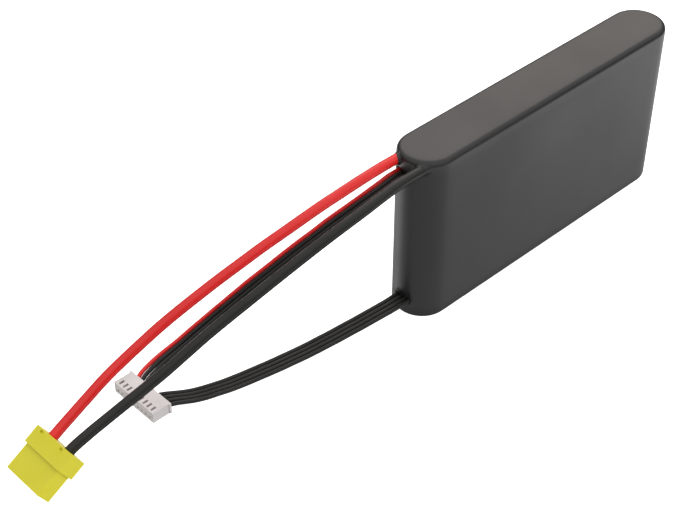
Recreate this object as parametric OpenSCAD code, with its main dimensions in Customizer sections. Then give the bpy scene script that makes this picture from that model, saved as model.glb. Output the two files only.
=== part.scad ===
// Six-cell lithium polymer battery pack, standing on its long narrow edge.
// Origin: middle of the case's footprint. +X runs along the case away from its leads,
// +Y is the thin direction and +Z is up. Millimetres.

/* [Cells] */
// Length of a pouch cell's body
cell_l = 129; // [100:1:170]
// Width of a pouch cell, which stands upright in the pack
cell_w = 38.5; // [30:0.5:50]
// Thickness of a pouch cell
cell_t = 7.5; // [5:0.1:9.5]
// Radius of a pouch's long corners
cell_corner_r = 1.4; // [0.5:0.1:2]
// Length of the sealed lip that the tabs come out of
lip_l = 3; // [2:0.5:6]
// Thickness of the sealed lip
lip_t = 1.2; // [0.8:0.1:2]
// Free length of a tab between the lip and the tab board
tab_l = 3; // [2:0.1:5]
// Width of a tab
tab_w = 8; // [5:0.5:12]
// Thickness of a tab
tab_t = 0.3; // [0.2:0.05:0.5]
// Distance between the two tabs of one cell
tab_spacing = 19; // [14:0.5:24]
// Length of the foot that a tab bends into on the tab board
tab_foot = 2.2; // [1:0.1:3]

/* [Packing] */
// Thickness of the adhesive pad between neighbouring cells
pad_t = 0.4; // [0.2:0.1:1]
// Thickness of the insulating tape round the stacks
tape_t = 0.2; // [0.1:0.05:0.3]
// Width of a tape band
tape_w = 19; // [10:1:30]
// Thickness of the stiff plate on each large side
plate_t = 0.5; // [0.3:0.1:1]
// Thickness of the foam strip along the top and bottom edges
strip_t = 1.2; // [0.8:0.1:3]
// Thickness of the foam between the upper and the lower stack
divider_t = 1.4; // [0.8:0.1:3]
// How far the tab boards stand from the start of the case's round end
board_setback = 0.2; // [0.1:0.1:4]
// How far the stacks reach into the round end away from the leads
tail_reach = 2; // [0:0.1:3]

/* [Case] */
// Wall of the shrunk-on outer wrap
wrap_t = 0.4; // [0.3:0.05:0.8]
// Radius of the case's top and bottom edges
edge_r = 2.5; // [1.5:0.1:4]

/* [Tab boards] */
// Thickness of a tab board
board_t = 1.2; // [0.8:0.1:2]
// Margin between a tab board and the outline of its stack
board_margin = 0.4; // [0.2:0.1:1]
// Thickness of the copper strips on the boards
bus_t = 0.5; // [0.3:0.1:1]
// Width of the copper strips
bus_w = 5; // [3:0.5:6]

/* [Leads] */
// Outer diameter of a main lead
lead_d = 4.4; // [3:0.1:5.5]
// Diameter of a main lead's bare conductor
core_d = 2.6; // [1.5:0.1:3]
// Length of bare conductor at each end of a main lead
core_bare = 3; // [2:0.5:4]
// Outer diameter of a balance wire
wire_d = 1.9; // [1.2:0.05:2.05]
// Gap between neighbouring balance wires along their run
wire_gap = 0.2; // [0.1:0.1:0.45]
// Height of the case above the main leads
lead_cover = 1.3; // [1:0.1:5]
// Gap between the main leads and the upper balance wires, one above the other
lead_gap = 2.05; // [0.5:0.05:4]
// Height of the lower balance wires above the base of the case
lower_wire_rise = 8.6; // [4:0.1:14]

/* [Main plug] */
// Width of the plug's nose
nose_w = 20; // [18:0.5:26]
// Thickness of the plug's nose
nose_t = 7.8; // [7.4:0.1:12]
// Length of the plug's nose
nose_l = 11.7; // [9:0.1:16]
// Width of the plug's cap
cap_w = 22; // [20:0.5:30]
// Thickness of the plug's cap
cap_t = 9.5; // [9:0.1:14]
// Length of the plug's cap
cap_l = 7.8; // [6:0.1:12]
// Wall of the plug's cap
cap_wall = 1; // [0.8:0.1:1.5]
// Distance between the plug's two contacts
contact_spacing = 10.4; // [8.5:0.1:11]
// Bore of a socket contact, for a 4.5 mm pin
socket_bore_d = 4.5; // [3:0.1:4.6]
// Wall of a socket contact
socket_wall = 0.6; // [0.4:0.1:0.8]
// How far the plug's nose points down
plug_tilt = 30; // [10:1:40]

/* [Balance housings] */
// Distance between neighbouring contacts
contact_pitch = 2.54; // [2.5:0.01:2.7]
// Width of a housing beyond its outer contacts, both ends together
housing_margin = 4.6; // [4:0.1:6]
// Thickness of a housing
housing_t = 5.3; // [5:0.1:7]
// Length of a housing
housing_l = 9; // [8:0.1:12]
// Height of the contacts above the housing's flat side
contact_h = 1.9; // [1.7:0.1:2.6]
// Play of a balance wire in its square cavity
cavity_play = 0.2; // [0.1:0.05:0.35]

/* [Fits] */
// Clearance round a part that slides into another
fit = 0.1; // [0.05:0.05:0.2]

/* [Hidden] */
$fn = 48;

// The case, from the inside out
stack_t = 3 * cell_t + 2 * pad_t;
inner_t = stack_t + 2 * tape_t + 2 * plate_t;
body_t = inner_t + 2 * wrap_t;
stacks_h = 2 * cell_w + divider_t;
body_h = stacks_h + 2 * tape_t + 2 * strip_t + 2 * wrap_t;
end_r = body_t / 2;
inner_r = edge_r - wrap_t;
block_l = end_r - wrap_t - board_setback;
tail_l = end_r - wrap_t - tail_reach;
body_l = 2 * wrap_t + block_l + board_t + tab_l + lip_l + cell_l + tail_l;

// Places along X, from the lead end
lead_end_x = -body_l / 2;
board_x = lead_end_x + wrap_t + block_l;
tab_x = board_x + board_t;
lip_x = tab_x + tab_l;
cell_x = lip_x + lip_l;
tail_x = cell_x + cell_l;
flat_x = body_l / 2 - end_r;

// Heights
stack_z = wrap_t + strip_t + tape_t;
upper_z = stack_z + cell_w + divider_t;
top_z = stack_z + stacks_h;
lead_z = body_h - lead_cover - lead_d / 2;
upper_wire_z = lead_z - lead_d / 2 - lead_gap - wire_d / 2;
wire_pitch = wire_d + wire_gap;

// How far a cutting shape runs past the surface that it cuts
past = 1;

// Plug: its lowest edge rests on the surface, out from the lead end
plug_out = 171.2;
plug_y = 26.5;
plug_l = nose_l + cap_l;
socket_d = socket_bore_d + 2 * socket_wall;
socket_recess = 0.8;
cup_l = 4;
cup_web = 1.2;
spigot_l = 2.4;
latch_ys = [7.3, -5.1];
latch = [1.1, 1.7, 0.8];
latch_setback = 0.6;
key = [nose_l - 1, 3, 0.6];

// Balance housings, side by side on the surface
cavity = wire_d + cavity_play;
housing_out = 117.2;
housings_y = 33.8;
housing_gap = 0.4;
housing_w = 3 * contact_pitch + housing_margin;
upper_housing_y = housings_y + (housing_w + housing_gap) / 2;
lower_housing_y = housings_y - (housing_w + housing_gap) / 2;
front_wall = 0.8;
contact_l = 6;
pin_hole = 1;
window = [2.6, 1.1];
rim = [0.9, 0.5];

// Routes: distance out from the lead end, sideways place and height of each point.
// Their heights stretch with the height at which each lead leaves the case.
positive_route = [
    [9.6, 5.6, 78.5], [19.1, 6.1, 77.6], [28.5, 6.9, 76.1], [37.8, 8.2, 74], [46.9, 9.7, 71.3],
    [55.8, 11.6, 68.1], [64.6, 13.7, 64.7], [73.2, 15.9, 60.8], [81.7, 18.3, 56.7],
    [90, 20.6, 52.4], [98.3, 23, 47.8], [106.5, 25.2, 43.1], [114.6, 27.1, 38.2],
    [122.8, 28.8, 33.2], [131, 30.2, 28.2], [139.2, 31, 23], [147.6, 31.5, 18]
];
negative_route = [
    [9.6, -7, 78.5], [19.2, -6.9, 77.2], [28.6, -6.5, 75.2], [37.9, -5.5, 72.7],
    [47.1, -4.1, 69.6], [56, -2.5, 66.1], [64.8, -0.7, 62.2], [73.4, 1.3, 58], [81.9, 3.5, 53.5],
    [90.3, 5.8, 48.9], [98.6, 8, 44.2], [106.8, 10.1, 39.2], [115, 12.1, 34.3],
    [123.3, 14.3, 29.6], [131.7, 16.5, 25.2], [140, 18.4, 21.1], [148.5, 20, 17.2]
];
upper_route = [
    [4.7, 1.5, 73.3], [9.4, 1.8, 72.2], [14, 2.7, 70.5], [18.5, 4.2, 68.1], [22.8, 6.2, 65.2],
    [27, 8.6, 61.9], [31.1, 11.1, 58.4], [35, 13.5, 54.7], [38.8, 16.1, 51], [42.5, 18.7, 47.2],
    [46.2, 21.2, 43.4], [49.9, 23.7, 39.5], [53.6, 26.2, 35.7], [57.3, 28.6, 32],
    [61.1, 30.8, 28.3], [65, 32.9, 24.7], [69, 34.9, 21.2], [73, 36.7, 17.9], [77.3, 38.3, 14.8],
    [81.6, 39.7, 11.9], [86, 40.8, 9.3], [90.6, 41.7, 7.1], [95.1, 42.2, 5.4], [99.6, 42.1, 4],
    [104, 41.5, 2.8]
];
lower_route = [
    [5.6, -0.4, 8.6], [11.3, 0.3, 8.1], [16.9, 1.3, 7.4], [22.4, 2.5, 6.4], [28, 3.8, 5.5],
    [33.6, 5.1, 4.5], [39.2, 6.4, 3.7], [44.8, 7.7, 2.9], [50.3, 9, 2.3], [55.9, 10.3, 1.9],
    [61.5, 11.5, 1.6], [67.1, 12.8, 1.4], [72.6, 14.1, 1.2], [78.1, 15.4, 1.1], [83.5, 16.9, 1],
    [88.6, 18.6, 1], [93.6, 20.4, 1], [98, 22.5, 1.1], [101.7, 24.6, 1.4], [105, 26.3, 1.8]
];

// Number of points at the end of a ribbon's route over which its wires fan out
fan_points = 4;

// Where each lead leaves the case, sideways
positive_y = positive_route[0][1];
negative_y = negative_route[0][1];
upper_wires_y = upper_route[0][1];
lower_wires_y = lower_route[0][1];

// Copper strips on the front of the tab boards, clear of the balance wires
board_top = top_z - board_margin;
strip_clear = 1.5;
positive_strip_z = upper_wire_z + wire_d / 2 + strip_clear;
negative_strip_z = lower_wire_rise + wire_d / 2 + strip_clear;
link_y = stack_t / 2 - board_margin - bus_w / 2;
link_reach = 6;

// Depths inside the plug, back from the face of its nose
cup_x = nose_l + spigot_l - cup_l;
socket_bore_l = cup_x - cup_web - socket_recess;
insulation_grip = 1;
insulation_end = plug_l - cap_wall - insulation_grip;

// ---- shapes that repeat ----

// Half of the case's cross-section: x from its middle plane, y up
function rounded_half(half_t, h, r) = concat(
    [[0, 0]],
    [for (a = [0 : 15 : 90]) [half_t - r + r * sin(a), r - r * cos(a)]],
    [for (a = [0 : 15 : 90]) [half_t - r + r * cos(a), h - r + r * sin(a)]],
    [[0, h]]);

// Upright slab with half-round ends and rounded top and bottom edges
module pill(l, t, h, r) {
    half = rounded_half(t / 2, h, r);
    for (side = [-1, 1])
        translate([side * (l - t) / 2, 0, 0])
            rotate([0, 0, -side * 90])
                rotate_extrude(angle = 180) polygon(half);
    rotate([90, 0, 90])
        linear_extrude(l - t, center = true) {
            polygon(half);
            mirror([1, 0]) polygon(half);
        }
}

// Box from one corner, size given, with its Y centred
module slab(x, y, z, size) {
    translate([x, y - size[1] / 2, z]) cube(size);
}

function unit(v) = v / norm(v);
function tangent(p, i) = unit(p[min(i + 1, len(p) - 1)] - p[max(i - 1, 0)]);
function ring(p, i, r, sides) =
    let (t = tangent(p, i), across = unit(cross([0, 0, 1], t)), up = cross(t, across))
    [for (k = [0 : sides - 1]) p[i] + r * (cos(360 * k / sides) * across + sin(360 * k / sides) * up)];

// One closed tube along a route
module tube(p, d, sides = 8) {
    last = len(p) - 1;
    polyhedron(
        points = [for (i = [0 : last]) each ring(p, i, d / 2, sides)],
        faces = concat(
            [[for (k = [0 : sides - 1]) k]],
            [for (i = [0 : last - 1], k = [0 : sides - 1])
                let (a = i * sides + k, b = i * sides + (k + 1) % sides)
                each [[a, a + sides, b], [b, a + sides, b + sides]]],
            [[for (k = [sides - 1 : -1 : 0]) last * sides + k]]));
}

// Cylinder along X
module rod(x, y, z, d, l) {
    translate([x, y, z]) rotate([0, 90, 0]) cylinder(d = d, h = l);
}

// Sideways place of a balance wire in its ribbon, and of its contact in the housing. Wire 0 is
// on the +Y side.
function wire_offset(i) = (1.5 - i) * wire_pitch;
function contact_offset(i) = (1.5 - i) * contact_pitch;

// ---- case and packing ----

// What the leads pass through on their way out, wide enough for them plus the clearance
module lead_passages(x, l) {
    rod(x, positive_y, lead_z, lead_d + 2 * fit, l);
    rod(x, negative_y, lead_z, lead_d + 2 * fit, l);
    slot = [l, 3 * wire_pitch + wire_d + 2 * fit, wire_d + 2 * fit];
    slab(x, upper_wires_y, upper_wire_z - slot[2] / 2, slot);
    slab(x, lower_wires_y, lower_wire_rise - slot[2] / 2, slot);
}

module inner_space() {
    translate([0, 0, wrap_t]) pill(body_l - 2 * wrap_t, body_t - 2 * wrap_t, body_h - 2 * wrap_t, inner_r);
}

module shrink_wrap() {
    color([0.25, 0.25, 0.24])
        difference() {
            pill(body_l, body_t, body_h, edge_r);
            inner_space();
            lead_passages(lead_end_x - past, end_r);
        }
}

module lead_end_block() {
    color([0.18, 0.18, 0.19])
        difference() {
            intersection() {
                inner_space();
                slab(lead_end_x, 0, 0, [wrap_t + block_l, body_t, body_h]);
            }
            lead_passages(lead_end_x - past, wrap_t + block_l + 2 * past);
            bus_space();
        }
}

module tail_block() {
    color([0.18, 0.18, 0.19])
        intersection() {
            inner_space();
            slab(tail_x, 0, 0, [tail_l + 2 * wrap_t, body_t, body_h]);
        }
}

module side_plate(side) {
    color([0.75, 0.72, 0.62])
        slab(-flat_x, side * (inner_t - plate_t) / 2, edge_r, [2 * flat_x, plate_t, body_h - 2 * edge_r]);
}
module near_side_plate() { side_plate(-1); }
module far_side_plate() { side_plate(1); }

module edge_strip(z) {
    color([0.2, 0.2, 0.2]) slab(tab_x, 0, z, [tail_x - tab_x, body_t - 2 * edge_r, strip_t]);
}
module top_edge_strip() { edge_strip(body_h - wrap_t - strip_t); }
module bottom_edge_strip() { edge_strip(wrap_t); }

module stack_divider() {
    color([0.2, 0.2, 0.2]) slab(cell_x, 0, stack_z + cell_w, [cell_l, stack_t, divider_t]);
}

// Band of insulating tape round both stacks
module tape_band(x) {
    color([0.72, 0.45, 0.1])
        difference() {
            slab(x, 0, stack_z - tape_t, [tape_w, stack_t + 2 * tape_t, stacks_h + 2 * tape_t]);
            slab(x - past, 0, stack_z, [tape_w + 2 * past, stack_t, stacks_h]);
        }
}
module front_tape_band() { tape_band(cell_x + cell_l / 5 - tape_w / 2); }
module rear_tape_band() { tape_band(cell_x + cell_l * 4 / 5 - tape_w / 2); }

// ---- cells ----

function cell_y(i) = (i - 2) * (cell_t + pad_t);

// Pouch with long rounded corners, and the thin sealed lip at its tab end
module cell(z, i) {
    color([0.72, 0.73, 0.75]) {
        translate([cell_x, cell_y(i), z])
            rotate([90, 0, 90])
                linear_extrude(cell_l) pouch_section();
        slab(lip_x, cell_y(i), z + cell_corner_r, [lip_l, lip_t, cell_w - 2 * cell_corner_r]);
    }
}
module pouch_section() {
    r = cell_corner_r;
    half = cell_t / 2 - r;
    corners = [[half, r, -90], [half, cell_w - r, 0], [-half, cell_w - r, 90], [-half, r, 180]];
    polygon([for (c = corners, a = [0 : 15 : 90]) [c[0] + r * cos(c[2] + a), c[1] + r * sin(c[2] + a)]]);
}
module upper_cell_1() { cell(upper_z, 1); }
module upper_cell_2() { cell(upper_z, 2); }
module upper_cell_3() { cell(upper_z, 3); }
module lower_cell_1() { cell(stack_z, 1); }
module lower_cell_2() { cell(stack_z, 2); }
module lower_cell_3() { cell(stack_z, 3); }

module cell_pads(z) {
    margin = 4;
    size = [cell_l - 2 * margin, pad_t, cell_w - 2 * margin];
    color([0.9, 0.9, 0.86])
        for (i = [1, 2]) slab(cell_x + margin, cell_y(i + 0.5), z + margin, size);
}
module upper_cell_pads() { cell_pads(upper_z); }
module lower_cell_pads() { cell_pads(stack_z); }

// A tab from each cell, with its foot flat on the tab board. High and low tabs alternate in polarity.
module tabs(z, parity) {
    for (i = [1 : 3]) {
        high = (i + parity) % 2 == 0 ? 1 : -1;
        tab_z = z + (cell_w + high * tab_spacing - tab_w) / 2;
        slab(tab_x, cell_y(i), tab_z, [tab_l, tab_t, tab_w]);
        slab(tab_x, cell_y(i) + (tab_t + tab_foot) / 2, tab_z, [tab_t, tab_foot, tab_w]);
    }
}
module upper_aluminium_tabs() { color([0.8, 0.81, 0.83]) tabs(upper_z, 1); }
module upper_nickel_tabs() { color([0.7, 0.68, 0.62]) tabs(upper_z, 0); }
module lower_aluminium_tabs() { color([0.8, 0.81, 0.83]) tabs(stack_z, 1); }
module lower_nickel_tabs() { color([0.7, 0.68, 0.62]) tabs(stack_z, 0); }

// ---- tab boards and copper strips ----

module tab_board(z) {
    color([0.1, 0.35, 0.2])
        slab(board_x, 0, z + board_margin,
            [board_t, stack_t - 2 * board_margin, cell_w - 2 * board_margin]);
}
module upper_tab_board() { tab_board(upper_z); }
module lower_tab_board() { tab_board(stack_z); }

// Strip on the front of the boards, grown all round by the gap given
module bus_strip(y, z0, z1, gap = 0) {
    slab(board_x - bus_t - gap, y, z0 - gap, [bus_t + gap, bus_w + 2 * gap, z1 - z0 + 2 * gap]);
}
module positive_bus(gap = 0) { bus_strip(positive_y, positive_strip_z, board_top, gap); }
module negative_bus(gap = 0) { bus_strip(negative_y, negative_strip_z, board_top, gap); }
module link_bus(gap = 0) {
    bus_strip(link_y, stack_z + cell_w - link_reach, upper_z + link_reach, gap);
}
module bus_space() {
    positive_bus(fit);
    negative_bus(fit);
    link_bus(fit);
}
module positive_bus_strip() { color([0.72, 0.42, 0.25]) positive_bus(); }
module negative_bus_strip() { color([0.72, 0.42, 0.25]) negative_bus(); }
module series_link() { color([0.72, 0.42, 0.25]) link_bus(); }

// ---- main plug ----

// A place on the plug: back from the nose's face, sideways, and up from its lower side
function plug_point(back, side, up) =
    [lead_end_x - plug_out + back * cos(plug_tilt) - up * sin(plug_tilt), plug_y + side,
        back * sin(plug_tilt) + up * cos(plug_tilt)];

module on_plug() {
    translate(plug_point(0, 0, nose_t / 2)) rotate([0, -plug_tilt, 0]) children();
}

// Box on the plug's axis, from one X to another
module plug_box(x, l, w, t) {
    translate([x, -w / 2, -t / 2]) cube([l, w, t]);
}

module plug_housing() {
    color([0.82, 0.8, 0.24])
        on_plug()
            difference() {
                union() {
                    plug_box(0, nose_l, nose_w, nose_t);
                    plug_box(nose_l, spigot_l, cap_w - 2 * (cap_wall + fit), cap_t - 2 * (cap_wall + fit));
                }
                for (side = [-1, 1])
                    rod(-past, side * contact_spacing / 2, 0, socket_d + 2 * fit,
                        nose_l + spigot_l + 2 * past);
                translate([-past, -contact_spacing / 2 - key[1] / 2, -nose_t / 2 - past])
                    cube([key[0] + past, key[1], key[2] + past]);
            }
}

module plug_cap() {
    color([0.82, 0.8, 0.24])
        on_plug()
            difference() {
                plug_box(nose_l, cap_l, cap_w, cap_t);
                plug_box(nose_l - past, cap_l - cap_wall + past, cap_w - 2 * cap_wall, cap_t - 2 * cap_wall);
                for (side = [-1, 1])
                    rod(nose_l, side * contact_spacing / 2, 0, lead_d + 2 * fit, cap_l + past);
                for (y = latch_ys)
                    translate([plug_l - latch_setback - latch[0], y - latch[1] / 2, cap_t / 2 - latch[2]])
                        cube([latch[0], latch[1], latch[2] + past]);
            }
}

// Round contact: a bore for the pin in front, a web, and a cup for the conductor behind
module socket(side) {
    color([0.83, 0.68, 0.3])
        on_plug()
            translate([0, side * contact_spacing / 2, 0])
                difference() {
                    rod(socket_recess, 0, 0, socket_d, nose_l + spigot_l - socket_recess);
                    rod(socket_recess - past, 0, 0, socket_bore_d, socket_bore_l + past);
                    rod(cup_x, 0, 0, core_d + 2 * fit, cup_l + past);
                }
}
module positive_socket() { socket(1); }
module negative_socket() { socket(-1); }

// ---- leads ----

// From the copper strip, out of the case, along the route and into the plug's cap
function lead_path(y, route, side) = concat(
    [[board_x - bus_t - core_bare, y, lead_z], [lead_end_x, y, lead_z]],
    [for (p = route) [lead_end_x - p[0], p[1], p[2] * lead_z / route[0][2]]],
    [plug_point(plug_l, side * contact_spacing / 2, nose_t / 2),
        plug_point(insulation_end, side * contact_spacing / 2, nose_t / 2)]);

module positive_lead() {
    color([0.8, 0.1, 0.1]) tube(lead_path(positive_y, positive_route, 1), lead_d, 12);
}
module negative_lead() {
    color([0.1, 0.1, 0.1]) tube(lead_path(negative_y, negative_route, -1), lead_d, 12);
}

// The bare conductor at both ends of a main lead
module core_ends(y, side) {
    color([0.8, 0.55, 0.4]) {
        rod(board_x - bus_t - core_bare, y, lead_z, core_d, core_bare);
        on_plug()
            rod(cup_x, side * contact_spacing / 2, 0, core_d, insulation_end - cup_x);
    }
}
module positive_core_ends() { core_ends(positive_y, 1); }
module negative_core_ends() { core_ends(negative_y, -1); }

// Sideways place of wire i at point j of n: the ribbon fans out towards its contacts at the end
function fanned(i, j, n) =
    let (share = max(0, (j + 1 - n + fan_points) / (fan_points + 1)))
    (1 - share) * wire_offset(i) + share * contact_offset(i);

// From the tab board, out of the case, along the route and into the housing
function wire_path(i, y, z, route, housing_y) =
    let (k = wire_offset(i), end_y = housing_y + contact_offset(i), front = lead_end_x - housing_out,
        rise = z / route[0][2], n = len(route))
    concat(
        [[board_x, y + k, z], [lead_end_x, y + k, z]],
        [for (j = [0 : n - 1]) let (p = route[j])
            [lead_end_x - p[0], p[1] + fanned(i, j, n), max(p[2] * rise, wire_d / 2)]],
        [[front + housing_l, end_y, contact_h], [front + front_wall + contact_l, end_y, contact_h]]);

module upper_wire(i) {
    color(i == 0 ? [0.8, 0.1, 0.1] : [0.1, 0.1, 0.1])
        tube(wire_path(i, upper_wires_y, upper_wire_z, upper_route, upper_housing_y), wire_d);
}
module lower_wire(i) {
    color([0.1, 0.1, 0.1])
        tube(wire_path(i, lower_wires_y, lower_wire_rise, lower_route, lower_housing_y), wire_d);
}
module upper_balance_wire_1() { upper_wire(0); }
module upper_balance_wire_2() { upper_wire(1); }
module upper_balance_wire_3() { upper_wire(2); }
module upper_balance_wire_4() { upper_wire(3); }
module lower_balance_wire_1() { lower_wire(0); }
module lower_balance_wire_2() { lower_wire(1); }
module lower_balance_wire_3() { lower_wire(2); }
module lower_balance_wire_4() { lower_wire(3); }

// ---- balance housings ----

module on_surface(y) {
    translate([lead_end_x - housing_out, y, 0]) children();
}

// Housing with a rim at its rear end, on its outer side: outer is 1 for +Y and -1 for -Y
module balance_housing(y, outer) {
    color([0.88, 0.86, 0.84])
        on_surface(y)
            difference() {
                union() {
                    slab(0, 0, 0, [housing_l, housing_w, housing_t]);
                    slab(housing_l - rim[0], outer * rim[1] / 2, 0, [rim[0], housing_w + rim[1], housing_t]);
                }
                for (i = [0 : 3]) {
                    h = contact_offset(i);
                    slab(front_wall, h, contact_h - cavity / 2, [housing_l, cavity, cavity]);
                    slab(-past, h, contact_h - pin_hole / 2,
                        [front_wall + 2 * past, pin_hole, pin_hole]);
                    slab(front_wall, h, contact_h, [window[0], window[1], housing_t]);
                }
            }
}
module upper_balance_housing() { balance_housing(upper_housing_y, 1); }
module lower_balance_housing() { balance_housing(lower_housing_y, -1); }

// Square crimp contacts, hollow where the header's pins enter
module balance_contacts(y) {
    side = cavity - 2 * fit;
    color([0.85, 0.85, 0.86])
        on_surface(y)
            for (i = [0 : 3])
                translate([front_wall, contact_offset(i), contact_h])
                    difference() {
                        translate([0, -side / 2, -side / 2]) cube([contact_l, side, side]);
                        translate([-past, -pin_hole / 2, -pin_hole / 2])
                            cube([contact_l, pin_hole, pin_hole]);
                    }
}
module upper_balance_contacts() { balance_contacts(upper_housing_y); }
module lower_balance_contacts() { balance_contacts(lower_housing_y); }

shrink_wrap();
lead_end_block();
tail_block();
near_side_plate();
far_side_plate();
top_edge_strip();
bottom_edge_strip();
stack_divider();
upper_cell_1();
upper_cell_2();
upper_cell_3();
lower_cell_1();
lower_cell_2();
lower_cell_3();
upper_cell_pads();
lower_cell_pads();
front_tape_band();
rear_tape_band();
upper_aluminium_tabs();
upper_nickel_tabs();
lower_aluminium_tabs();
lower_nickel_tabs();
upper_tab_board();
lower_tab_board();
positive_bus_strip();
negative_bus_strip();
series_link();
positive_lead();
negative_lead();
positive_core_ends();
negative_core_ends();
upper_balance_wire_1();
upper_balance_wire_2();
upper_balance_wire_3();
upper_balance_wire_4();
lower_balance_wire_1();
lower_balance_wire_2();
lower_balance_wire_3();
lower_balance_wire_4();
upper_balance_housing();
lower_balance_housing();
upper_balance_contacts();
lower_balance_contacts();
plug_housing();
plug_cap();
positive_socket();
negative_socket();
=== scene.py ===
# %% [markdown]
# # A shrink-wrapped battery pack with its leads
#
# The model is a slab of soft lithium polymer cells in black shrink film. Two thick silicone leads
# run to a yellow plug, and two flat groups of thin wires run to small white housings. The sizes
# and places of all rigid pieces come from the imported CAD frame. This lesson adds what CAD leaves
# out: soft film, flexible leads, rounded mouldings and the finish of every surface.

import math

import bmesh
import bpy
from mathutils import Matrix, Vector


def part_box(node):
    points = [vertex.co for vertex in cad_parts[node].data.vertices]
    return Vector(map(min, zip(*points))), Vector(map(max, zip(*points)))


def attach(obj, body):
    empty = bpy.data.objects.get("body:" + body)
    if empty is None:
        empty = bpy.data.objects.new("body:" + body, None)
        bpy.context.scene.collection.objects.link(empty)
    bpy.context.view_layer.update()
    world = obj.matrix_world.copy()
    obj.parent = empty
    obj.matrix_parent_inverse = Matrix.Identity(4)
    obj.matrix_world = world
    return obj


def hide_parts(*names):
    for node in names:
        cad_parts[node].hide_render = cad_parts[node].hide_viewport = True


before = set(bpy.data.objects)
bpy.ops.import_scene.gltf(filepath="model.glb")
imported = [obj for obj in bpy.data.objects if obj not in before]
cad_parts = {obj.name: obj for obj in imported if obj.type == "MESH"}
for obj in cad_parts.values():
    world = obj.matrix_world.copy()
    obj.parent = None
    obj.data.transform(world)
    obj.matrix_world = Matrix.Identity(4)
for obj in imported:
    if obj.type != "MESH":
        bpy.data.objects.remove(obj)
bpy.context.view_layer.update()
MM = 0.001
print("nodes in the frame:", len(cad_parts))

# %% [markdown]
# ## Places that everything hangs on
#
# The case stands on its long narrow edge, with its middle over the origin. The leads come out of
# the end at low X. Reading these places from the frame keeps the looks on the design, even if
# a size changes there.

# %% Read the case
case_low, case_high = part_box("shrink_wrap")
LEAD_END = case_low.x
CASE_LENGTH = case_high.x - case_low.x
CASE_THICK = case_high.y - case_low.y
CASE_HEIGHT = case_high.z
print("case in mm:", [round(v / MM, 2) for v in (CASE_LENGTH, CASE_THICK, CASE_HEIGHT)])

# %% [markdown]
# ## Camera
#
# A long lens keeps the case's edges almost parallel. The camera stands out from the corner between
# the lead end and the large near side, and looks down at about 40 degrees, so the top, the side
# and the end all show. It is placed before anything else, because free leads are checked against
# what it sees.

# %% Place the camera
CAMERA_AT = Vector((-0.4373, -0.3365, 0.4446))
CAMERA_AIM = Vector((-0.1043, 0.0100, 0.0400))
CAMERA_LENS = 81.1
CAMERA_ROLL = math.radians(0.18)

camera = bpy.data.objects.new("camera", bpy.data.cameras.new("camera"))
bpy.context.scene.collection.objects.link(camera)
camera.data.lens = CAMERA_LENS
camera.data.sensor_width = 36
camera.data.clip_start = 0.01
aim = (CAMERA_AIM - CAMERA_AT).to_track_quat("-Z", "Y").to_matrix().to_4x4()
camera.matrix_world = Matrix.Translation(CAMERA_AT) @ aim @ Matrix.Rotation(CAMERA_ROLL, 4, "Z")
bpy.context.scene.camera = camera
print("camera distance in m:", round((CAMERA_AIM - CAMERA_AT).length, 3))

# %% [markdown]
# ## Routes of the leads
#
# A lead is a fixed length of something flexible. Each route leaves the case straight, then comes
# down in one soft sweep to the surface. A point is given as the distance out from the lead end,
# the sideways place and the height, in millimetres, as in the CAD source. The four wires of a
# ribbon share one route and lie side by side.

# %% Points of the four routes
POSITIVE_ROUTE = [
    (9.6, 5.6, 78.5), (19.1, 6.1, 77.6), (28.5, 6.9, 76.1), (37.8, 8.2, 74), (46.9, 9.7, 71.3),
    (55.8, 11.6, 68.1), (64.6, 13.7, 64.7), (73.2, 15.9, 60.8), (81.7, 18.3, 56.7),
    (90, 20.6, 52.4), (98.3, 23, 47.8), (106.5, 25.2, 43.1), (114.6, 27.1, 38.2),
    (122.8, 28.8, 33.2), (131, 30.2, 28.2), (139.2, 31, 23), (147.6, 31.5, 18),
]
NEGATIVE_ROUTE = [
    (9.6, -7, 78.5), (19.2, -6.9, 77.2), (28.6, -6.5, 75.2), (37.9, -5.5, 72.7),
    (47.1, -4.1, 69.6), (56, -2.5, 66.1), (64.8, -0.7, 62.2), (73.4, 1.3, 58), (81.9, 3.5, 53.5),
    (90.3, 5.8, 48.9), (98.6, 8, 44.2), (106.8, 10.1, 39.2), (115, 12.1, 34.3),
    (123.3, 14.3, 29.6), (131.7, 16.5, 25.2), (140, 18.4, 21.1), (148.5, 20, 17.2),
]
UPPER_ROUTE = [
    (4.7, 1.5, 73.3), (9.4, 1.8, 72.2), (14, 2.7, 70.5), (18.5, 4.2, 68.1), (22.8, 6.2, 65.2),
    (27, 8.6, 61.9), (31.1, 11.1, 58.4), (35, 13.5, 54.7), (38.8, 16.1, 51), (42.5, 18.7, 47.2),
    (46.2, 21.2, 43.4), (49.9, 23.7, 39.5), (53.6, 26.2, 35.7), (57.3, 28.6, 32),
    (61.1, 30.8, 28.3), (65, 32.9, 24.7), (69, 34.9, 21.2), (73, 36.7, 17.9), (77.3, 38.3, 14.8),
    (81.6, 39.7, 11.9), (86, 40.8, 9.3), (90.6, 41.7, 7.1), (95.1, 42.2, 5.4), (99.6, 42.1, 4),
    (104, 41.5, 2.8),
]
LOWER_ROUTE = [
    (5.6, -0.4, 8.6), (11.3, 0.3, 8.1), (16.9, 1.3, 7.4), (22.4, 2.5, 6.4), (28, 3.8, 5.5),
    (33.6, 5.1, 4.5), (39.2, 6.4, 3.7), (44.8, 7.7, 2.9), (50.3, 9, 2.3), (55.9, 10.3, 1.9),
    (61.5, 11.5, 1.6), (67.1, 12.8, 1.4), (72.6, 14.1, 1.2), (78.1, 15.4, 1.1), (83.5, 16.9, 1),
    (88.6, 18.6, 1), (93.6, 20.4, 1), (98, 22.5, 1.1), (101.7, 24.6, 1.4), (105, 26.3, 1.8),
]
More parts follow.
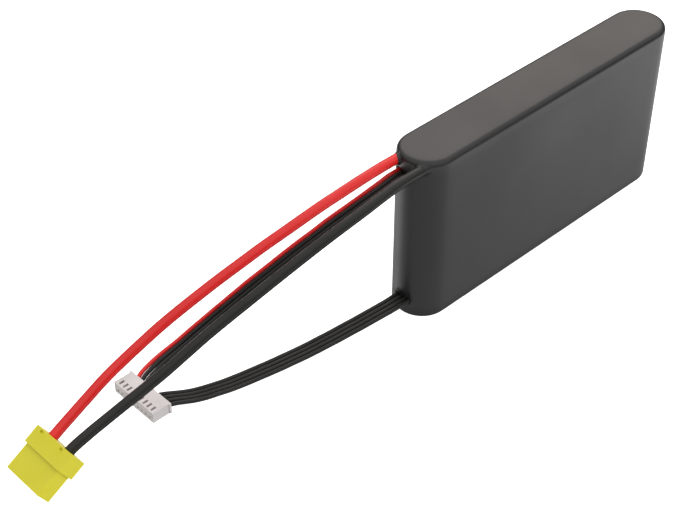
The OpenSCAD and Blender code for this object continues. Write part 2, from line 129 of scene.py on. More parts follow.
routes = (POSITIVE_ROUTE, NEGATIVE_ROUTE, UPPER_ROUTE, LOWER_ROUTE)
print("points in each route:", [len(route) for route in routes])

# %% [markdown]
# The plug lies nose down on the surface, so its own axis is tilted. One function turns a place on
# the plug (back from its nose, sideways, up from its lower side) into a place in the frame, and
# the last points of both leads use it.

# %% Places on the plug and in the housings
LEAD_D = 4.4 * MM
WIRE_D = 1.9 * MM
WIRE_PITCH = 2.1
CONTACT_PITCH = 2.54
PLUG_OUT, PLUG_Y, PLUG_TILT = 171.2, 26.5, math.radians(30)
NOSE_T, CONTACT_SPACING = 7.8, 10.4
PLUG_LENGTH, INSULATION_END = 19.5, 17.5
CONTACT_HEIGHT = 1.9
HOUSING_Y = {"upper": 40.11, "lower": 27.49}


def from_lead_end(out, y, z):
    return Vector((LEAD_END - out * MM, y * MM, z * MM))


def on_plug(back, side, up):
    run = back * math.cos(PLUG_TILT) - up * math.sin(PLUG_TILT)
    rise = back * math.sin(PLUG_TILT) + up * math.cos(PLUG_TILT)
    return from_lead_end(PLUG_OUT - run, PLUG_Y + side, rise)


print("plug's nose in mm:", [round(v / MM, 1) for v in on_plug(0, 0, NOSE_T / 2)])

# %% [markdown]
# ## Leads as curves
#
# A Bezier curve with a round bevel is the natural tool for a wire: it stays smooth at any
# resolution and knows its own length. The curve starts inside the case, where the CAD solid
# starts, and ends inside the plug or housing. Its thickness is given as the radius of each knot,
# because Blender counts that radius when it works out how far a curve reaches.

# %% Make one lead
def lead_curve(name, points, diameter, sides):
    curve = bpy.data.curves.new(name, "CURVE")
    curve.dimensions = "3D"
    curve.bevel_depth = 1
    curve.bevel_resolution = sides
    curve.resolution_u = 6
    curve.use_fill_caps = True
    spline = curve.splines.new("BEZIER")
    spline.bezier_points.add(len(points) - 1)
    for knot, place in zip(spline.bezier_points, points):
        knot.co = place
        knot.radius = diameter / 2
        knot.handle_left_type = knot.handle_right_type = "AUTO"
    lead = bpy.data.objects.new(name, curve)
    bpy.context.scene.collection.objects.link(lead)
    return lead


def run_length(points):
    return sum((b - a).length for a, b in zip(points, points[1:]))


# %% The two main leads
def main_lead(node, route, side):
    inside = Vector((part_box(node)[1].x, route[0][1] * MM, route[0][2] * MM))
    at_case = from_lead_end(0, *route[0][1:])
    half = side * CONTACT_SPACING / 2
    last = [on_plug(PLUG_LENGTH, half, NOSE_T / 2), on_plug(INSULATION_END, half, NOSE_T / 2)]
    points = [inside, at_case] + [from_lead_end(*p) for p in route] + last
    lead = lead_curve(node + "_insulation", points, LEAD_D, 8)
    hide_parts(node)
    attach(lead, "root")
    return lead, points, at_case


positive_lead, positive_points, positive_exit = main_lead("positive_lead", POSITIVE_ROUTE, 1)
negative_lead, negative_points, negative_exit = main_lead("negative_lead", NEGATIVE_ROUTE, -1)
print("main leads in mm:", [round(run_length(p) / MM) for p in (positive_points, negative_points)])

# %% [markdown]
# The balance wires leave the case packed side by side. Over the last points of the route they
# fan out, because each enters its own contact, which stands slightly further from the next.

# %% The eight balance wires
FAN_POINTS = 4


def balance_wire(group, number, route):
    node = f"{group}_balance_wire_{number}"
    housing_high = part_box(f"{group}_balance_housing")[1]
    contacts_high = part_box(f"{group}_balance_contacts")[1]
    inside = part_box(node)[1].x
    place = 2.5 - number
    y, z = route[0][1] + place * WIRE_PITCH, route[0][2]
    points = [Vector((inside, y * MM, z * MM)), from_lead_end(0, y, z)]
    for i, (out, y, height) in enumerate(route):
        share = max(0, (i + 1 - len(route) + FAN_POINTS) / (FAN_POINTS + 1))
        pitch = (1 - share) * WIRE_PITCH + share * CONTACT_PITCH
        points.append(from_lead_end(out, y + place * pitch, height))
    end_y = HOUSING_Y[group] + place * CONTACT_PITCH
    for x in (housing_high.x, contacts_high.x):
        points.append(Vector((x, end_y * MM, CONTACT_HEIGHT * MM)))
    wire = lead_curve(node + "_insulation", points, WIRE_D, 4)
    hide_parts(node)
    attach(wire, "root")
    return wire, points, points[1]


upper_wires = [balance_wire("upper", n, UPPER_ROUTE) for n in (1, 2, 3, 4)]
lower_wires = [balance_wire("lower", n, LOWER_ROUTE) for n in (1, 2, 3, 4)]
print("balance wires in mm:", [round(run_length(w[1]) / MM) for w in upper_wires + lower_wires])

# %% [markdown]
# ## Rounded mouldings
#
# A moulded edge is never perfectly sharp, and the thin bright line along it is what makes plastic
# look like plastic. Modelling each bevel by hand would take long. Instead a copy of the CAD
# shape is cleaned back to flat faces and gets a narrow bevel on every edge, with normals
# weighted so that the flat faces stay flat.

# %% Round the edges of a copy
def object_from(work, name):
    """Turns a bmesh into an object in the scene, and frees the bmesh."""
    mesh = bpy.data.meshes.new(name)
    work.to_mesh(mesh)
    work.free()
    obj = bpy.data.objects.new(name, mesh)
    bpy.context.scene.collection.objects.link(obj)
    return obj


def apply_modifiers(obj):
    graph = bpy.context.evaluated_depsgraph_get()
    mesh = bpy.data.meshes.new_from_object(obj.evaluated_get(graph))
    obj.modifiers.clear()
    obj.data = mesh


WELD = 0.002 * MM
FLAT_WITHIN = math.radians(1)
EDGE_FROM = math.radians(30)
PLUG_BEVEL, HOUSING_BEVEL = 0.25 * MM, 0.12 * MM


def rounded_copy(node, name, width):
    work = bmesh.new()
    work.from_mesh(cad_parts[node].data)
    bmesh.ops.remove_doubles(work, verts=work.verts, dist=WELD)
    bmesh.ops.dissolve_limit(work, angle_limit=FLAT_WITHIN, verts=work.verts, edges=work.edges)
    for face in work.faces:
        face.smooth = True
    piece = object_from(work, name)
    bevel = piece.modifiers.new("bevel", "BEVEL")
    bevel.width = width
    bevel.segments = 2
    bevel.limit_method = "ANGLE"
    bevel.angle_limit = EDGE_FROM
    bevel.use_clamp_overlap = True
    weighted = piece.modifiers.new("weighted", "WEIGHTED_NORMAL")
    weighted.keep_sharp = False
    apply_modifiers(piece)
    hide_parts(node)
    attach(piece, "root")
    return piece


# %% Plug and balance housings
plug_nose = rounded_copy("plug_housing", "plug_nose_moulding", PLUG_BEVEL)
plug_cap = rounded_copy("plug_cap", "plug_cap_moulding", PLUG_BEVEL)
housings = [
    rounded_copy(f"{group}_balance_housing", f"{group}_balance_moulding", HOUSING_BEVEL)
    for group in ("upper", "lower")
]
print("faces of the mouldings:", [len(p.data.polygons) for p in (plug_nose, plug_cap, *housings)])

# %% [markdown]
# ## The shrink film
#
# The film is one skin pulled tight over a slab: half-round ends, soft edges and large sides that
# stand out a little in the middle, where the cells press from inside. A cube with a bevel
# modifier would leave the sides dead flat. Here the skin is lofted from rings instead, so that
# each ring can be inset for the rounded edge and pushed out for the crown.

# %% Outline of one ring
EDGE_R = 2.5 * MM
FILM = 0.4 * MM
# How far the large sides and the top stand out in the middle. A higher power keeps the top's crown
# closer to the top.
CROWN, TOP_CROWN = 0.3 * MM, 0.15 * MM
TOP_CROWN_POWER = 20
ARC_STEPS, STRAIGHT_STEPS, EDGE_STEPS, SIDE_STEPS, LID_STEPS = 20, 36, 6, 20, 5
END_R = CASE_THICK / 2
HALF_FLAT = CASE_LENGTH / 2 - END_R
CASE_MIDDLE = (case_low.x + case_high.x) / 2


def stadium(inset):
    radius = max(END_R - inset, 0)
    points = []
    for end in (1, -1):
        for i in range(ARC_STEPS):
            a = math.radians(-90 + 180 * i / ARC_STEPS)
            points.append((end * (HALF_FLAT + radius * math.cos(a)), end * radius * math.sin(a)))
        for i in range(STRAIGHT_STEPS):
            points.append((end * HALF_FLAT * (1 - 2 * i / STRAIGHT_STEPS), end * radius))
    return points


def smooth_bump(t):
    """0 at both ends of 0 to 1, rising to 1 in the middle without a corner."""
    return math.sin(math.pi * min(max(t, 0), 1)) ** 2


print("points in a ring:", len(stadium(0)))

# %% Loft the skin
def film_rings(skin):
    """Rings (inset, height) from the middle of the base to the middle of the top."""
    edge = EDGE_R - skin
    rings = [(END_R - (END_R - EDGE_R) * i / LID_STEPS, skin) for i in range(LID_STEPS)]
    for i in range(EDGE_STEPS):
        a = math.radians(90 * i / EDGE_STEPS)
        rings.append((skin + edge * (1 - math.sin(a)), skin + edge * (1 - math.cos(a))))
    low, high = skin + edge, CASE_HEIGHT - skin - edge
    rings += [(skin, low + (high - low) * i / SIDE_STEPS) for i in range(SIDE_STEPS)]
    base = rings[: LID_STEPS + EDGE_STEPS + 1]
    top = [(inset, CASE_HEIGHT - height) for inset, height in base]
    return rings + top[::-1]


def film_point(x, y, z):
    """Pushes a point of the large sides and of the top outwards by the crown."""
    along = smooth_bump((x + HALF_FLAT) / (2 * HALF_FLAT)) ** 0.5
    up = smooth_bump(z / CASE_HEIGHT) ** 0.5
    flat = abs(y) / END_R
    y += math.copysign(CROWN * along * up * flat**3, y)
    if z > CASE_HEIGHT / 2:
        z += TOP_CROWN * along * max(0, 1 - flat**2) * (z / CASE_HEIGHT) ** TOP_CROWN_POWER
    return Vector((CASE_MIDDLE + x, y, z))


def loft_film(work, skin, inside_out):
    rings = [
        [work.verts.new(film_point(x, y, z)) for x, y in stadium(inset)]
        for inset, z in film_rings(skin)
    ]
    for below, above in zip(rings, rings[1:]):
        for i in range(len(below)):
            j = (i + 1) % len(below)
            corners = [below[i], below[j], above[j], above[i]]
            face = work.faces.new(corners[::-1] if inside_out else corners)
            face.smooth = True


work = bmesh.new()
loft_film(work, 0, False)
loft_film(work, FILM, True)
SAME_PLACE = 0.001 * MM
bmesh.ops.remove_doubles(work, verts=work.verts, dist=SAME_PLACE)
bmesh.ops.dissolve_degenerate(work, edges=work.edges, dist=SAME_PLACE)
film = object_from(work, "shrink_film")
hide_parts("shrink_wrap")
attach(film, "root")
print("faces of the film:", len(film.data.polygons))

# %% [markdown]
# ## Where the leads leave the film
#
# The hot film closes round each main lead and is drawn out along it, and round the flat ribbons it
# rolls inwards into a slot. The holes are cut with a boolean, because a hole in a curved skin
# is the one place where a boolean is simpler than modelling. A ring of a few section points,
# lofted round the lead, then makes each sleeve and lip.

# %% Cut the holes
def round_outline(radius, steps=24):
    turns = [2 * math.pi * i / steps for i in range(steps)]
    return [(radius * math.cos(a), radius * math.sin(a)) for a in turns]


def ribbon_outline(radius, half_width, steps=12):
    points = []
    for end in (1, -1):
        for i in range(steps + 1):
            a = math.radians(-90 + 180 * i / steps)
            points.append((end * (half_width + radius * math.cos(a)), end * radius * math.sin(a)))
    return points


def sleeve(work, rings):
    """Joins rings of (x, y, z) points into a skin; the last ring joins the first."""
    made = [[work.verts.new(p) for p in ring] for ring in rings]
    for near, far in zip(made, made[1:] + made[:1]):
        for i in range(len(near)):
            j = (i + 1) % len(near)
            work.faces.new((near[i], near[j], far[j], far[i])).smooth = True


CUT_AHEAD = 2 * MM


def cutter(outline, y, z):
    """A straight bar of that outline, from in front of the lead end to well inside it."""
    work = bmesh.new()
    xs = (LEAD_END - CUT_AHEAD, LEAD_END + END_R / 2)
    ends = [[work.verts.new((x, y + a, z + b)) for a, b in outline] for x in xs]
    for i in range(len(outline)):
        j = (i + 1) % len(outline)
        work.faces.new((ends[0][i], ends[0][j], ends[1][j], ends[1][i]))
    work.faces.new(ends[0][::-1])
    work.faces.new(ends[1])
    bmesh.ops.recalc_face_normals(work, faces=work.faces)
    return object_from(work, "cutter")


PLAY = 0.1 * MM
SLOT_PLAY = 0.75 * MM
RIBBON_HALF = 1.5 * WIRE_PITCH * MM
LEAD_RIM = round_outline(LEAD_D / 2)
RIBBON_RIM = ribbon_outline(WIRE_D / 2, RIBBON_HALF)
openings = [
    ("positive_film_sleeve", positive_exit, LEAD_RIM, 0, PLAY),
    ("negative_film_sleeve", negative_exit, LEAD_RIM, 0, PLAY),
]
for group, route in (("upper", UPPER_ROUTE), ("lower", LOWER_ROUTE)):
    middle = from_lead_end(0, route[0][1], route[0][2])
    openings.append((f"{group}_slot_lip", middle, RIBBON_RIM, RIBBON_HALF, SLOT_PLAY))


def grown(point, half_width, amount):
    """Moves an outline's point away from the lead, or from the middle line of a ribbon."""
    core = max(min(point[0], half_width), -half_width)
    out = Vector((point[0] - core, point[1]))
    out += out.normalized() * amount
    return core + out.x, out.y


for name, place, outline, half_width, play in openings:
    tool = cutter([grown(p, half_width, play) for p in outline], place.y, place.z)
    cut = film.modifiers.new("hole", "BOOLEAN")
    cut.object = tool
    cut.solver = "EXACT"
    apply_modifiers(film)
    bpy.data.objects.remove(tool)
print("faces of the film with its holes:", len(film.data.polygons))


# %% Sleeves and lips of drawn film
def skin_x(y, z):
    """Where the half-round end's surface is, with its rounded top and bottom edges."""
    past_edge = max(z - (CASE_HEIGHT - EDGE_R), EDGE_R - z, 0)
    inset = EDGE_R - math.sqrt(max(EDGE_R**2 - past_edge**2, 0))
    return LEAD_END + END_R - math.sqrt(max((END_R - inset) ** 2 - y**2, 0))


# Each ring of a section: depth into the case and distance from the lead, in millimetres.
SLEEVE_SECTION = [
    (-1.5, 0.04), (-1.1, 0.1), (-0.6, 0.24), (-0.2, 0.48), (0.05, 0.85), (0.4, 1.0),
    (0.4, 0.1), (-0.4, 0.02),
]
LIP_SECTION = [
    (0.1, 1.1), (-0.04, 0.95), (-0.03, 0.7), (0.1, 0.48), (0.35, 0.36), (0.7, 0.34), (0.7, 0.9),
]


def drawn_film(name, place, outline, half_width, section):
    work = bmesh.new()
    rings = []
    for depth, off in section:
        spots = [grown(p, half_width, off * MM) for p in outline]
        spots = [(place.y + a, place.z + b) for a, b in spots]
        rings.append([(skin_x(y, z) + depth * MM, y, z) for y, z in spots])
    sleeve(work, rings)
    bmesh.ops.recalc_face_normals(work, faces=work.faces)
    piece = object_from(work, name)
    soften = piece.modifiers.new("soften", "SUBSURF")
    soften.levels = soften.render_levels = 1
    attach(piece, "root")
    return piece


collars = []
for name, place, outline, half_width, _ in openings:
    section = SLEEVE_SECTION if half_width == 0 else LIP_SECTION
    collars.append(drawn_film(name, place, outline, half_width, section))
print("drawn film:", [c.name for c in collars])

# %% [markdown]
# ## Effects that the materials share
#
# Real surfaces are never one colour or one gloss. Four small node groups cover what these
# materials have in common: a slow drift of colour, a fine grain for bumps, lines that run along
# a lead, and lighter edges, partly rubbed wear and partly a painted highlight. Each is built once,
# and each material places it with its own values.

# %% A helper for node groups
def new_group(name, inputs, outputs):
    group = bpy.data.node_groups.new(name, "ShaderNodeTree")
    for socket, kind, value in inputs:
        made = group.interface.new_socket(socket, in_out="INPUT", socket_type=kind)
        made.default_value = value
    for socket, kind in outputs:
        group.interface.new_socket(socket, in_out="OUTPUT", socket_type=kind)
    nodes, links = group.nodes, group.links
    return group, nodes, links, nodes.new("NodeGroupInput"), nodes.new("NodeGroupOutput")


FLOAT, COLOUR = "NodeSocketFloat", "NodeSocketColor"


def noise_in(nodes, links, scale_from, detail):
    """A noise texture on object coordinates, so that its size is in metres."""
    place = nodes.new("ShaderNodeTexCoord")
    noise = nodes.new("ShaderNodeTexNoise")
    noise.inputs["Detail"].default_value = detail
    links.new(place.outputs["Object"], noise.inputs["Vector"])
    links.new(scale_from, noise.inputs["Scale"])
    return noise


# %% Colour drift
def build_drift():
    inputs = [("Colour", COLOUR, (0.5, 0.5, 0.5, 1)), ("Other colour", COLOUR, (0.4, 0.4, 0.4, 1))]
    inputs += [("Scale", FLOAT, 40), ("Low gloss", FLOAT, 0.4), ("High gloss", FLOAT, 0.6)]
    outputs = [("Colour", COLOUR), ("Roughness", FLOAT)]
    group, nodes, links, start, end = new_group("drift", inputs, outputs)
    noise = noise_in(nodes, links, start.outputs["Scale"], 4)
    spread = nodes.new("ShaderNodeMapRange")
    spread.inputs["From Min"].default_value = 0.3
    spread.inputs["From Max"].default_value = 0.7
    links.new(noise.outputs["Fac"], spread.inputs["Value"])
    mix = nodes.new("ShaderNodeMix")
    mix.data_type = "RGBA"
    links.new(spread.outputs["Result"], mix.inputs["Factor"])
    links.new(start.outputs["Colour"], mix.inputs["A"])
    links.new(start.outputs["Other colour"], mix.inputs["B"])
    gloss = nodes.new("ShaderNodeMapRange")
    links.new(spread.outputs["Result"], gloss.inputs["Value"])
    links.new(start.outputs["Low gloss"], gloss.inputs["To Min"])
    links.new(start.outputs["High gloss"], gloss.inputs["To Max"])
    links.new(mix.outputs["Result"], end.inputs["Colour"])
    links.new(gloss.outputs["Result"], end.inputs["Roughness"])
    return group


DRIFT = build_drift()
print("group:", DRIFT.name)


# %% Grain
def build_grain():
    inputs = [("Fine scale", FLOAT, 2500), ("Broad scale", FLOAT, 120)]
    inputs += [("Broad share", FLOAT, 0.3)]
    group, nodes, links, start, end = new_group("grain", inputs, [("Height", FLOAT)])
    fine = noise_in(nodes, links, start.outputs["Fine scale"], 2)
    broad = noise_in(nodes, links, start.outputs["Broad scale"], 2)
    mix = nodes.new("ShaderNodeMix")
    mix.data_type = "FLOAT"
    links.new(start.outputs["Broad share"], mix.inputs["Factor"])
    links.new(fine.outputs["Fac"], mix.inputs["A"])
    links.new(broad.outputs["Fac"], mix.inputs["B"])
    links.new(mix.outputs["Result"], end.inputs["Height"])
    return group


GRAIN = build_grain()
print("group:", GRAIN.name)


# %% Lines along one axis
def build_lines():
    inputs = [("Scale across", FLOAT, 3000), ("Scale along", FLOAT, 40)]
    group, nodes, links, start, end = new_group("lines", inputs, [("Height", FLOAT)])
    place = nodes.new("ShaderNodeTexCoord")
    stretch = nodes.new("ShaderNodeCombineXYZ")
    links.new(start.outputs["Scale along"], stretch.inputs["X"])
    links.new(start.outputs["Scale across"], stretch.inputs["Y"])
    links.new(start.outputs["Scale across"], stretch.inputs["Z"])
    scaled = nodes.new("ShaderNodeVectorMath")
    scaled.operation = "MULTIPLY"
    links.new(place.outputs["Object"], scaled.inputs[0])
    links.new(stretch.outputs["Vector"], scaled.inputs[1])
    noise = nodes.new("ShaderNodeTexNoise")
    noise.inputs["Scale"].default_value = 1
    noise.inputs["Detail"].default_value = 3
    links.new(scaled.outputs["Vector"], noise.inputs["Vector"])
    links.new(noise.outputs["Fac"], end.inputs["Height"])
    return group


LINES = build_lines()
print("group:", LINES.name)


# %% Rubbed edges and a painted edge highlight
def build_edge_wear_and_highlight():
    inputs = [("Colour", COLOUR, (0.5, 0.5, 0.5, 1))]
    inputs += [("Rubbed colour", COLOUR, (0.7, 0.7, 0.7, 1)), ("Amount", FLOAT, 0.5)]
    outputs = [("Colour", COLOUR), ("Mask", FLOAT)]
    group, nodes, links, start, end = new_group("edge_wear_and_highlight", inputs, outputs)
    shape = nodes.new("ShaderNodeNewGeometry")
    # Convex edges take the lighter colour: partly rubbed wear, partly a painted highlight.
    edge = nodes.new("ShaderNodeMapRange")
    edge.inputs["From Min"].default_value = 0.52
    edge.inputs["From Max"].default_value = 0.62
    links.new(shape.outputs["Pointiness"], edge.inputs["Value"])
    patchy = nodes.new("ShaderNodeTexNoise")
    patchy.inputs["Scale"].default_value = 180
    place = nodes.new("ShaderNodeTexCoord")
    links.new(place.outputs["Object"], patchy.inputs["Vector"])
    part = nodes.new("ShaderNodeMath")
    part.operation = "MULTIPLY"
    links.new(edge.outputs["Result"], part.inputs[0])
    links.new(patchy.outputs["Fac"], part.inputs[1])
    amount = nodes.new("ShaderNodeMath")
    amount.operation = "MULTIPLY"
    amount.use_clamp = True
    links.new(part.outputs["Value"], amount.inputs[0])
    links.new(start.outputs["Amount"], amount.inputs[1])
    mix = nodes.new("ShaderNodeMix")
    mix.data_type = "RGBA"
    links.new(amount.outputs["Value"], mix.inputs["Factor"])
    links.new(start.outputs["Colour"], mix.inputs["A"])
    links.new(start.outputs["Rubbed colour"], mix.inputs["B"])
    links.new(mix.outputs["Result"], end.inputs["Colour"])
    links.new(amount.outputs["Value"], end.inputs["Mask"])
    return group


EDGE_WEAR_AND_HIGHLIGHT = build_edge_wear_and_highlight()
print("group:", EDGE_WEAR_AND_HIGHLIGHT.name)

# %% [markdown]
# ## Materials
#
# The Principled shader stays in each material. Its constants, such as a plain Metallic or a
# specular level, are set on its own sockets, and the groups feed only what changes over the
# surface. One helper lays out the usual chain: drift, lighter edges (rubbed wear and a painted
# highlight), then a bump.

# %% The chain that most materials use
def place_group(tree, group, **values):
    node = tree.nodes.new("ShaderNodeGroup")
    node.node_tree = group
    for name, value in values.items():
        node.inputs[name.replace("_", " ")].default_value = value
    return node


def surface(name, colour, other, scale, gloss, metallic=0.0, specular=0.5, worn_and_highlit_edges=None):
    """A material that drifts between two colours and two roughnesses, in patches of that scale.

    The last argument gives the lighter edges their (colour, amount); these edges are partly
    rubbed wear and partly a painted highlight.
    """
    material = bpy.data.materials.new(name)
    material.use_nodes = True
    tree = material.node_tree
    shader = tree.nodes["Principled BSDF"]
    shader.inputs["Metallic"].default_value = metallic
    shader.inputs["Specular IOR Level"].default_value = specular
    drift = place_group(tree, DRIFT, Colour=(*colour, 1), Other_colour=(*other, 1), Scale=scale,
                        Low_gloss=gloss[0], High_gloss=gloss[1])
    tree.links.new(drift.outputs["Roughness"], shader.inputs["Roughness"])
    last = drift
    # The lighter edges are partly rubbed wear and partly a painted highlight.
    if worn_and_highlit_edges:
        last = place_group(tree, EDGE_WEAR_AND_HIGHLIGHT, Rubbed_colour=(*worn_and_highlit_edges[0], 1), Amount=worn_and_highlit_edges[1])
        tree.links.new(drift.outputs["Colour"], last.inputs["Colour"])
    tree.links.new(last.outputs["Colour"], shader.inputs["Base Color"])
    return material, tree, shader


def bumped(tree, shader, group, height, **values):
    """Feeds a group's Height through a bump of that height, in metres, to the shader."""
    texture = place_group(tree, group, **values)
    bump = tree.nodes.new("ShaderNodeBump")
    bump.inputs["Strength"].default_value = 1
    bump.inputs["Distance"].default_value = height
    tree.links.new(texture.outputs["Height"], bump.inputs["Height"])
    tree.links.new(bump.outputs["Normal"], shader.inputs["Normal"])


# %% [markdown]
# Shrink film is a satin vinyl. Its surface has a faint orange peel, and slow waves where it lies
# over foam and boards, so its reflections wander slightly.

# %% Black shrink film
def black_film():
    # Its rounded edges turn grey, partly as rubbed wear and partly as a painted highlight.
    material, tree, shader = surface("black_film", (0.022, 0.022, 0.022), (0.018, 0.018, 0.018),
                                     22, (0.34, 0.42), specular=0.4,
                                     worn_and_highlit_edges=((0.06, 0.059, 0.058), 0.5))
    bumped(tree, shader, GRAIN, 0.00004, Fine_scale=1400, Broad_scale=60, Broad_share=0.85)
    return material


# %% Silicone insulation
def red_silicone():
    material, tree, shader = surface("red_silicone", (0.75, 0.017, 0.015), (0.69, 0.013, 0.012),
                                     60, (0.32, 0.45))
    bumped(tree, shader, LINES, 0.00002, Scale_across=2200, Scale_along=60)
    return material


def black_silicone():
    material, tree, shader = surface("black_silicone", (0.015, 0.015, 0.014), (0.011, 0.011, 0.01),
                                     60, (0.38, 0.5), specular=0.36)
    bumped(tree, shader, LINES, 0.00002, Scale_across=2200, Scale_along=60)
    return material


# %% Moulded nylon
def yellow_nylon():
    material, tree, shader = surface("yellow_nylon", (0.72, 0.655, 0.016), (0.68, 0.62, 0.014), 90,
                                     (0.4, 0.52), worn_and_highlit_edges=((0.82, 0.76, 0.14), 0.4))
    bumped(tree, shader, GRAIN, 0.00001, Fine_scale=3500, Broad_scale=300, Broad_share=0.3)
    return material


def white_nylon():
    material, tree, shader = surface("white_nylon", (0.6, 0.565, 0.56), (0.56, 0.53, 0.525), 140,
                                     (0.4, 0.5), worn_and_highlit_edges=((0.8, 0.78, 0.77), 0.4))
    bumped(tree, shader, GRAIN, 0.00001, Fine_scale=4000, Broad_scale=500, Broad_share=0.3)
    return material


# %% Metals
def bare_metal(name, colour, other, gloss, across=5000):
    material, tree, shader = surface(name, colour, other, 200, gloss, metallic=1.0)
    bumped(tree, shader, LINES, 0.000008, Scale_across=across, Scale_along=150)
    return material


def gold_plate():
    return bare_metal("gold_plate", (0.85, 0.62, 0.24), (0.78, 0.55, 0.2), (0.18, 0.3))


def tinned_strip():
    return bare_metal("tinned_strip", (0.72, 0.72, 0.73), (0.62, 0.62, 0.64), (0.25, 0.4))


def copper_strip():
    return bare_metal("copper_strip", (0.82, 0.45, 0.3), (0.7, 0.36, 0.22), (0.25, 0.42))


def tinned_strands():
    return bare_metal("tinned_strands", (0.8, 0.6, 0.45), (0.68, 0.5, 0.38), (0.3, 0.45),
                      across=2500)


def aluminium_strip():
    return bare_metal("aluminium_strip", (0.83, 0.84, 0.86), (0.75, 0.76, 0.78), (0.28, 0.42))


def nickel_strip():
    return bare_metal("nickel_strip", (0.66, 0.63, 0.58), (0.58, 0.55, 0.5), (0.22, 0.36))


# %% Packing and boards
def pouch_foil():
    material, tree, shader = surface("pouch_foil", (0.66, 0.67, 0.69), (0.58, 0.59, 0.61), 35,
                                     (0.3, 0.45), metallic=0.8)
    bumped(tree, shader, GRAIN, 0.00005, Fine_scale=900, Broad_scale=90, Broad_share=0.7)
    return material


def black_foam(name, scale):
    material, tree, shader = surface(name, (0.05, 0.05, 0.052), (0.034, 0.034, 0.036), 120,
                                     (0.8, 0.95))
    bumped(tree, shader, GRAIN, 0.00015, Fine_scale=scale, Broad_scale=400, Broad_share=0.3)
    return material


def glass_fibre_board():
    material, tree, shader = surface("glass_fibre_board", (0.55, 0.48, 0.3), (0.47, 0.4, 0.24), 60,
                                     (0.4, 0.55))
    bumped(tree, shader, GRAIN, 0.00003, Fine_scale=1600, Broad_scale=700, Broad_share=0.5)
    return material


def amber_tape():
    material, tree, shader = surface("amber_tape", (0.62, 0.29, 0.05), (0.53, 0.23, 0.035), 70,
                                     (0.12, 0.25))
    bumped(tree, shader, GRAIN, 0.00004, Fine_scale=300, Broad_scale=80, Broad_share=0.6)
    return material


def white_pad():
    material, tree, shader = surface("white_pad", (0.78, 0.78, 0.74), (0.7, 0.7, 0.66), 80,
                                     (0.6, 0.8))
    bumped(tree, shader, GRAIN, 0.00006, Fine_scale=1500, Broad_scale=300, Broad_share=0.4)
    return material


def green_board():
    material, tree, shader = surface("green_board", (0.035, 0.2, 0.09), (0.028, 0.16, 0.07), 150,
                                     (0.25, 0.4))
    bumped(tree, shader, GRAIN, 0.00003, Fine_scale=2200, Broad_scale=500, Broad_share=0.5)
    return material


# %% Give every piece its material
def dress(material, *objects):
    for obj in objects:
        obj.data.materials.clear()
        obj.data.materials.append(material)


def cad(*names):
    return [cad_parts[n] for n in names]


film_material = black_film()
red, black = red_silicone(), black_silicone()
yellow, white = yellow_nylon(), white_nylon()
dress(film_material, film, *collars)
dress(red, positive_lead, upper_wires[0][0])
dress(black, negative_lead, *[w[0] for w in upper_wires[1:] + lower_wires])
dress(yellow, plug_nose, plug_cap)
dress(white, *housings)
dress(gold_plate(), *cad("positive_socket", "negative_socket"))
dress(tinned_strip(), *cad("upper_balance_contacts", "lower_balance_contacts"))
dress(tinned_strands(), *cad("positive_core_ends", "negative_core_ends"))
dress(copper_strip(), *cad("positive_bus_strip", "negative_bus_strip", "series_link"))
dress(aluminium_strip(), *cad("upper_aluminium_tabs", "lower_aluminium_tabs"))
dress(nickel_strip(), *cad("upper_nickel_tabs", "lower_nickel_tabs"))
dress(pouch_foil(), *cad(*[f"{g}_cell_{i}" for g in ("upper", "lower") for i in (1, 2, 3)]))
dress(white_pad(), *cad("upper_cell_pads", "lower_cell_pads"))
dress(amber_tape(), *cad("front_tape_band", "rear_tape_band"))
dress(glass_fibre_board(), *cad("near_side_plate", "far_side_plate"))
dress(green_board(), *cad("upper_tab_board", "lower_tab_board"))
dress(black_foam("end_foam", 700), *cad("lead_end_block", "tail_block"))
dress(black_foam("strip_foam", 1100), *cad("top_edge_strip", "bottom_edge_strip", "stack_divider"))
print("materials:", len(bpy.data.materials))

# %% [markdown]
# ## The cords
#
# The two main leads and the eight balance wires are counted as cords.

print("cords:", 2 + len(upper_wires) + len(lower_wires))

# %% [markdown]
# ## Studio
#
# The stage is a white sheet that glows by itself, so it stays white under the pack, and it neither
# lights the pack nor shows in it. The surroundings are pale high up, which lights the top, and dark
# at the horizon, which keeps the rounded upper edges dark and gives the slab its form. A pale band
# just below the horizon shows in the upright sides. A big softbox beyond the tail puts a warm sheen
# on the top. A fill on the right evens out the coloured pieces, and it is kept out of reflections,
# or it would grey the dark film. Two weak ones below the surface's level brighten the far part of
# the large side and the far edge of the lead end.

# %% Floor
FLOOR_HALF = 3.0
work = bmesh.new()
bmesh.ops.create_grid(work, x_segments=2, y_segments=2, size=FLOOR_HALF)
floor = object_from(work, "floor")
floor_material, _, shader = surface("white_sheet", (0.93, 0.93, 0.93), (0.92, 0.92, 0.92), 3,
                                    (0.95, 1.0))
shader.inputs["Emission Color"].default_value = (1, 1, 1, 1)
shader.inputs["Emission Strength"].default_value = 1
dress(floor_material, floor)
floor.visible_diffuse = False
floor.visible_glossy = False
floor.visible_shadow = False
print("floor in m:", 2 * FLOOR_HALF)


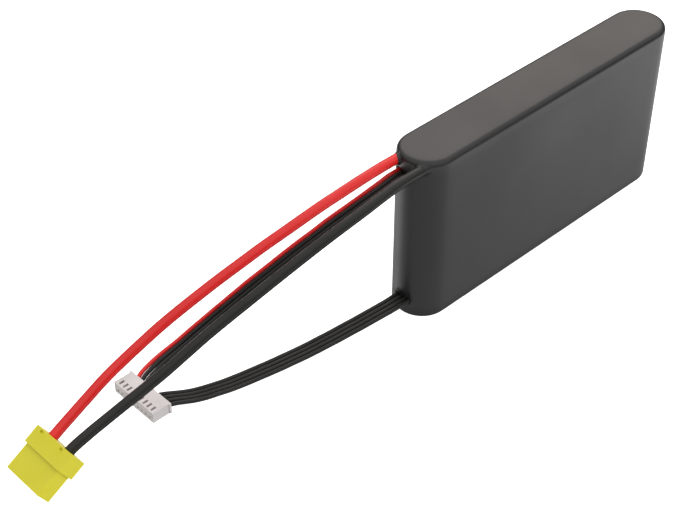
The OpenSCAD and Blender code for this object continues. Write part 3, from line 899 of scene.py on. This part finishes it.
# %% Lights
def softbox(name, place, target, size, power, tint=(1, 1, 1), reflected=True):
    data = bpy.data.lights.new(name, "AREA")
    data.shape = "RECTANGLE"
    data.size, data.size_y = size
    data.energy = power
    data.color = tint
    light = bpy.data.objects.new(name, data)
    bpy.context.scene.collection.objects.link(light)
    light.visible_glossy = reflected
    light.location = place
    light.rotation_mode = "QUATERNION"
    light.rotation_quaternion = (Vector(target) - Vector(place)).to_track_quat("-Z", "Y")


# All lights aim at one point, just outside the lead end at half the case's height.
CENTRE = (-0.08, 0, 0.04)
softbox("far_top", (1.3, 1.4, 1.5), CENTRE, (2.0, 1.6), 16.6, (1, 0.9, 0.82))
softbox("right_fill", (0.4, -1.7, 0.7), CENTRE, (1.4, 1.0), 14, reflected=False)
softbox("right_bounce", (1.5, -1.3, -0.85), CENTRE, (1.2, 0.8), 1.2)
softbox("left_bounce", (-0.7, 1.5, -1.1), CENTRE, (1.0, 1.0), 2.8)

SURROUNDINGS_STRENGTH = 2
# Share of that strength at each height, from straight down (0) to straight up (1)
SURROUNDINGS = [(0.0, 0.09), (0.16, 0.13), (0.3, 1), (0.45, 0), (0.6, 0), (0.8, 0.54), (1.0, 0.53)]
world = bpy.data.worlds.new("studio")
bpy.context.scene.world = world
world.use_nodes = True
nodes, links = world.node_tree.nodes, world.node_tree.links
direction = nodes.new("ShaderNodeTexCoord")
parts = nodes.new("ShaderNodeSeparateXYZ")
height = nodes.new("ShaderNodeMapRange")
height.inputs["From Min"].default_value = -1
band = nodes.new("ShaderNodeValToRGB")
links.new(direction.outputs["Generated"], parts.inputs["Vector"])
links.new(parts.outputs["Z"], height.inputs["Value"])
links.new(height.outputs["Result"], band.inputs["Fac"])
links.new(band.outputs["Color"], nodes["Background"].inputs["Color"])
nodes["Background"].inputs["Strength"].default_value = SURROUNDINGS_STRENGTH
steps = band.color_ramp.elements
while len(steps) < len(SURROUNDINGS):
    steps.new(0.5)
for step, (place, level) in zip(steps, SURROUNDINGS):
    step.position = place
    step.color = (level, level, level, 1)
bpy.context.scene.view_settings.view_transform = "Standard"

# %% [markdown]
# ## Bring the scene up to date
#
# The view layer is updated once more at the end.

# %% Update the view layer
bpy.context.view_layer.update()
